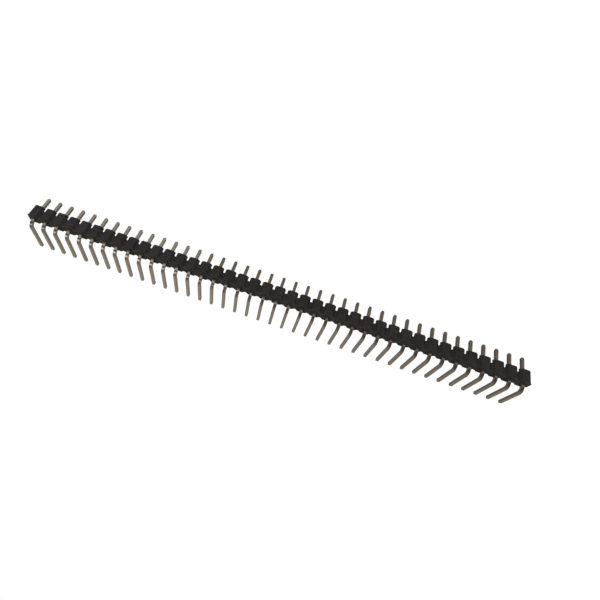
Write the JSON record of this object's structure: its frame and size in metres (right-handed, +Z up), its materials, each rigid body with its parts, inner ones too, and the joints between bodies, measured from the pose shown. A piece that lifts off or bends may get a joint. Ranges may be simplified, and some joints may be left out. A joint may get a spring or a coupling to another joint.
{
  "type": "right-angle pin header strip",
  "caption": "Single-row right-angle pin header: square pins through a black break-off insulator of eight-sided blocks, short tails below, longer arms bent level.",
  "frame": {"origin": "on the first pin's axis, in the plane where the rails under the insulator's blocks seat on the circuit board", "axes": "+X along the row from the first pin to the last, +Z up from the board, away from the tails; the bent arms point along -Y"},
  "size_m": [0.1016, 0.0084, 0.0073],
  "materials": {
    "insulator": "satin moulded glass-filled thermoplastic, black with a slight warm cast",
    "pins": "thin pale gold flash over drawn square brass wire, softly brushed along its length"
  },
  "bodies": {
    "root": {"insulator": "insulator", "pin_01": "pins", "pin_02": "pins", "pin_03": "pins", "pin_04": "pins", "pin_05": "pins", "pin_06": "pins", "pin_07": "pins", "pin_08": "pins", "pin_09": "pins", "pin_10": "pins", "pin_11": "pins", "pin_12": "pins", "pin_13": "pins", "pin_14": "pins", "pin_15": "pins", "pin_16": "pins", "pin_17": "pins", "pin_18": "pins", "pin_19": "pins", "pin_20": "pins", "pin_21": "pins", "pin_22": "pins", "pin_23": "pins", "pin_24": "pins", "pin_25": "pins", "pin_26": "pins", "pin_27": "pins", "pin_28": "pins", "pin_29": "pins", "pin_30": "pins", "pin_31": "pins", "pin_32": "pins", "pin_33": "pins", "pin_34": "pins", "pin_35": "pins", "pin_36": "pins", "pin_37": "pins", "pin_38": "pins", "pin_39": "pins", "pin_40": "pins"}
  },
  "joints": []
}
